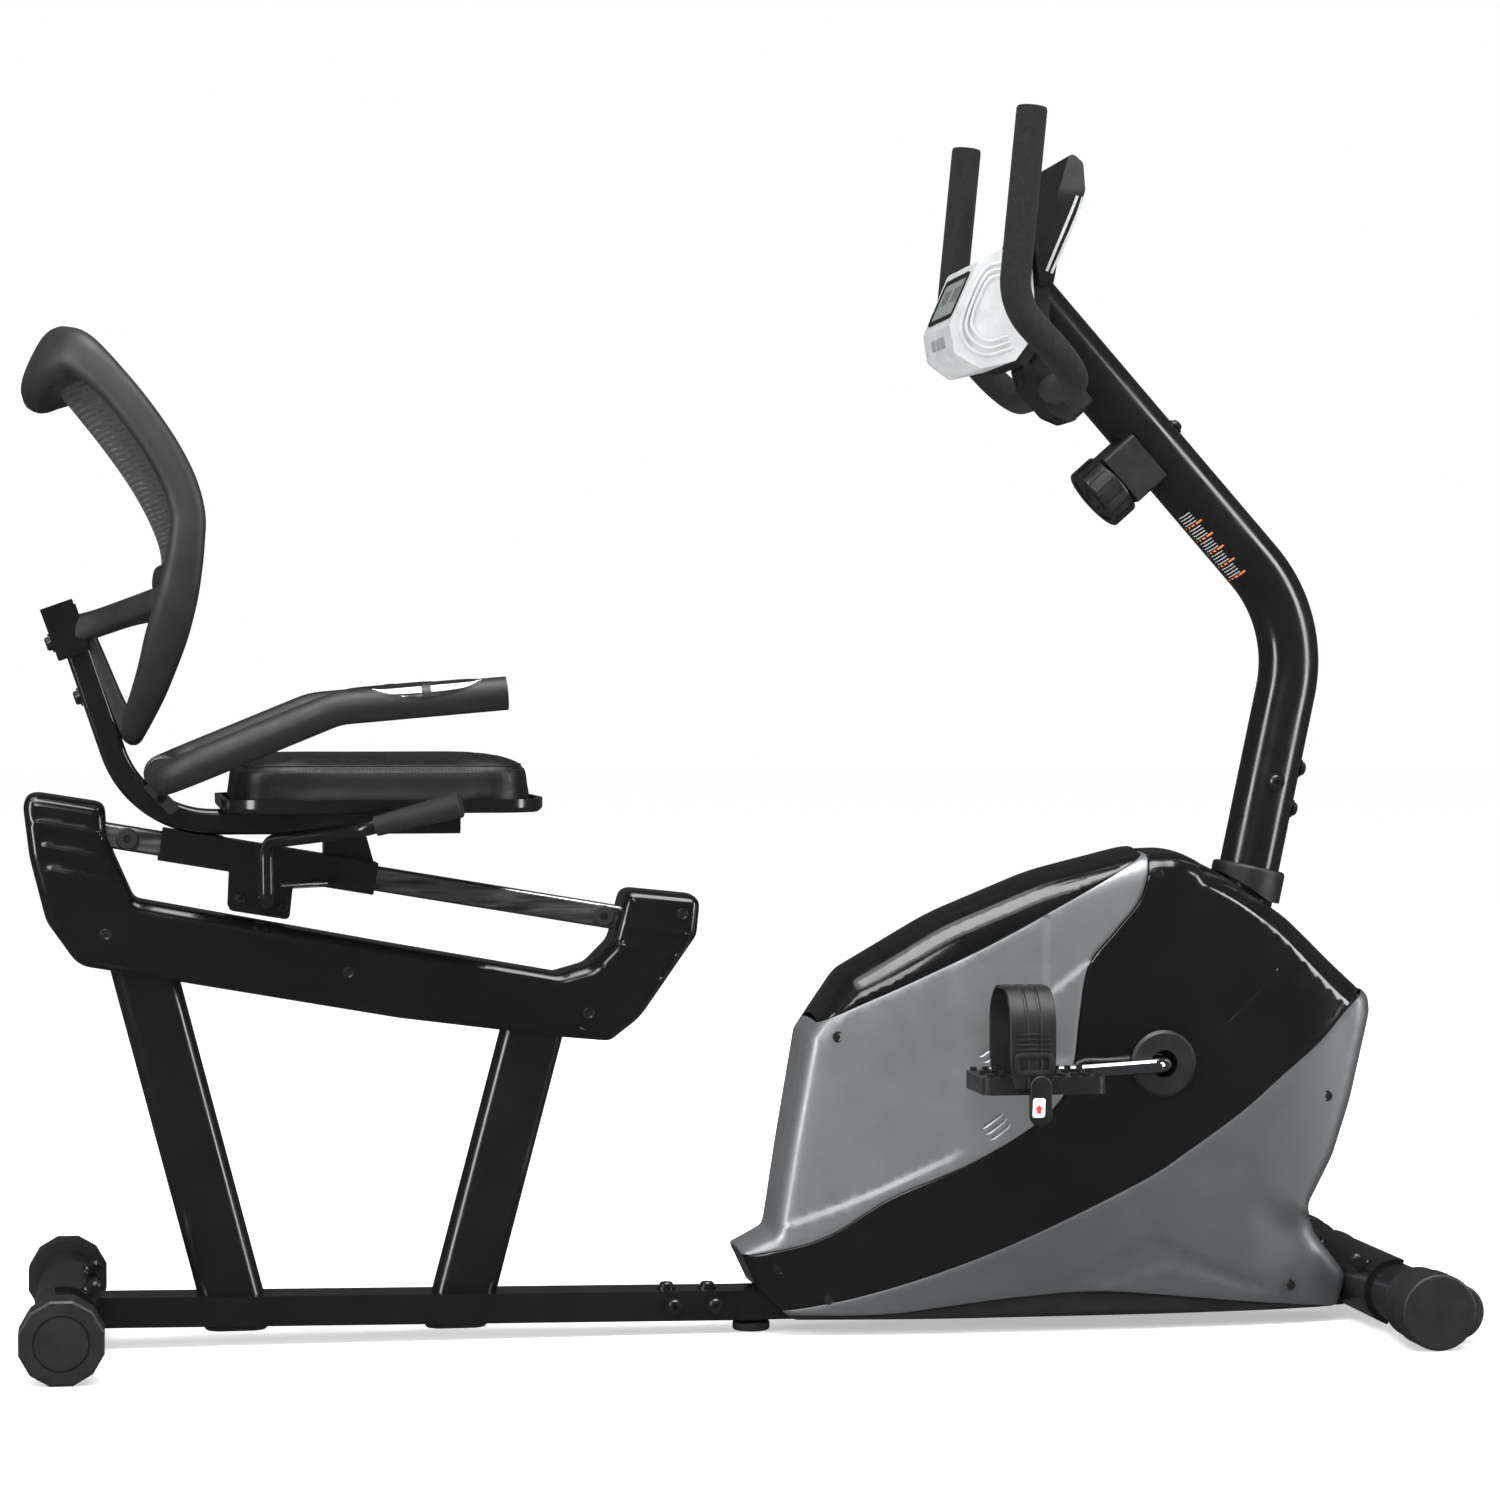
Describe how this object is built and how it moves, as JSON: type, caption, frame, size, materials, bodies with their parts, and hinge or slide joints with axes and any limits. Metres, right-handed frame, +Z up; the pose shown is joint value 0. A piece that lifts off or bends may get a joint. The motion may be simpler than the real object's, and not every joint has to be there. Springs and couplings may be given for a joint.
{
  "type": "recumbent exercise bike",
  "caption": "Recumbent exercise bike with sliding seat, mesh backrest, shrouded flywheel drive, pedals, tall bent mast, handlebar, console and tablet holder.",
  "frame": {"origin": "on the floor, under the middle of the bike's length and width", "axes": "+X forwards, the way the rider faces; +Y to the rider's left; +Z up"},
  "size_m": [1.441, 0.522, 1.2319],
  "materials": {
    "frame_black": "gloss",
    "gloss_black": "gloss",
    "silver_panel": "satin metallic",
    "grey_panel": "satin",
    "cap_plastic": "satin",
    "black_zinc": "gloss",
    "rubber": "matte",
    "bright_steel": "brushed",
    "chrome": "polished",
    "pulley_plastic": "matte",
    "belt_rubber": "matte",
    "flywheel_iron": "machined",
    "pedal_plastic": "satin",
    "strap_plastic": "satin",
    "wheel_plastic": "satin",
    "grip_foam": "matte",
    "bar_coating": "satin",
    "console_silver": "satin",
    "screen": "gloss",
    "key_plastic": "satin",
    "holder_plastic": "satin",
    "knob_plastic": "satin",
    "cushion_leather": "satin",
    "back_plastic": "textured",
    "mesh_fabric": "woven"
  },
  "bodies": {
    "frame": {"base_beam": "frame_black", "front_beam": "frame_black", "stabilizer_tubes": "frame_black", "rear_end_caps": "cap_plastic", "front_end_caps": "cap_plastic", "frame_fasteners": "black_zinc", "rubber_buffers": "rubber", "rail_carrier": "frame_black", "rail_posts": "frame_black", "seat_rail": "bright_steel", "rail_covers": "gloss_black", "top_cover": "gloss_black", "rear_panels": "silver_panel", "lower_panels": "grey_panel", "shroud_right": "gloss_black", "shroud_left": "gloss_black", "pod_trims": "cap_plastic", "drive_bearings": "bright_steel", "drive_brackets": "frame_black", "drive_belt": "belt_rubber", "mast_post": "frame_black", "mast": "frame_black", "handlebar_clamp": "cap_plastic", "handlebar": "bar_coating", "handlebar_grips": "grip_foam", "console_housing": "console_silver", "console_back": "cap_plastic", "console_screen": "screen", "tablet_holder": "holder_plastic", "tension_housing": "cap_plastic"},
    "crank": {"crank": "chrome", "drive_pulley": "pulley_plastic", "pedal_spindles": "chrome"},
    "pedal_right": {"pedal_right": "pedal_plastic", "pedal_strap_right": "strap_plastic"},
    "pedal_left": {"pedal_left": "pedal_plastic", "pedal_strap_left": "strap_plastic"},
    "flywheel": {"flywheel": "flywheel_iron"},
    "magnet_carrier": {"magnet_carrier": "frame_black"},
    "tension_knob": {"tension_knob": "knob_plastic"},
    "transport_wheel_right": {"transport_wheel_right": "wheel_plastic"},
    "transport_wheel_left": {"transport_wheel_left": "wheel_plastic"},
    "levelling_foot": {"levelling_foot": "rubber"},
    "key_mode": {"key_mode": "key_plastic"},
    "key_set": {"key_set": "key_plastic"},
    "key_reset": {"key_reset": "key_plastic"},
    "seat": {"seat_frame": "frame_black", "seat_carriage": "frame_black", "seat_inserts": "cap_plastic", "seat_pan": "frame_black", "seat_cushion": "cushion_leather", "seat_handlebar": "bar_coating", "bar_clamp": "chrome", "pulse_sensors": "chrome", "backrest_frame": "back_plastic", "backrest_mesh": "mesh_fabric", "seat_bolts": "black_zinc", "lever_spring": "bright_steel"},
    "seat_lever": {"seat_lever": "frame_black", "lever_grip": "rubber"}
  },
  "joints": [
    {"name": "seat_slide", "type": "slide", "parent": "frame", "child": "seat", "axis": [0.9859, 0, -0.1673], "range_m": [-0.015, 0.205]},
    {"name": "seat_lever_lift", "type": "hinge", "parent": "seat", "child": "seat_lever", "pos_m": [-0.484, -0.04, 0.441], "axis": [0, -1, 0], "range_deg": [0, 5.5], "stiffness_Nm_per_rad": 3, "springref_deg": -11.46, "deforming": ["lever_spring"]},
    {"name": "crank_spin", "type": "hinge", "parent": "frame", "child": "crank", "pos_m": [0.42, 0, 0.273], "axis": [0, 1, 0], "continuous": true},
    {"name": "pedal_right_spin", "type": "hinge", "parent": "crank", "child": "pedal_right", "pos_m": [0.2662, -0.16, 0.26516], "axis": [0, 1, 0], "continuous": true},
    {"name": "pedal_left_spin", "type": "hinge", "parent": "crank", "child": "pedal_left", "pos_m": [0.5738, 0.16, 0.28084], "axis": [0, 1, 0], "continuous": true},
    {"name": "flywheel_spin", "type": "hinge", "parent": "frame", "child": "flywheel", "pos_m": [0.19, 0, 0.215], "axis": [0, 1, 0], "continuous": true},
    {"name": "tension_knob_turn", "type": "hinge", "parent": "frame", "child": "tension_knob", "pos_m": [0.37822, 0, 0.85883], "axis": [-0.7479, 0, -0.6639], "range_deg": [0, 300]},
    {"name": "magnet_swing", "type": "hinge", "parent": "frame", "child": "magnet_carrier", "pos_m": [0.062, 0, 0.226], "axis": [0, 1, 0], "range_deg": [0, 3.2]},
    {"name": "wheel_right_spin", "type": "hinge", "parent": "frame", "child": "transport_wheel_right", "pos_m": [0.691, -0.1935, 0.031], "axis": [0, 1, 0], "continuous": true},
    {"name": "wheel_left_spin", "type": "hinge", "parent": "frame", "child": "transport_wheel_left", "pos_m": [0.691, 0.1935, 0.031], "axis": [0, 1, 0], "continuous": true},
    {"name": "levelling_foot_height", "type": "slide", "parent": "frame", "child": "levelling_foot", "axis": [0, 0, 1], "range_m": [0, 0.002]},
    {"name": "key_mode_press", "type": "slide", "parent": "frame", "child": "key_mode", "axis": [0.9854, 0, 0.1701], "range_m": [0, 0.0012], "stiffness_N_per_m": 400, "springref_m": -0.001},
    {"name": "key_set_press", "type": "slide", "parent": "frame", "child": "key_set", "axis": [0.9854, 0, 0.1701], "range_m": [0, 0.0012], "stiffness_N_per_m": 400, "springref_m": -0.001},
    {"name": "key_reset_press", "type": "slide", "parent": "frame", "child": "key_reset", "axis": [0.9854, 0, 0.1701], "range_m": [0, 0.0012], "stiffness_N_per_m": 400, "springref_m": -0.001}
  ],
  "couplings": [
    {"joint": "flywheel_spin", "follows": "crank_spin", "ratio": 5},
    {"joint": "magnet_swing", "follows": "tension_knob_turn", "ratio": 0.010667}
  ]
}
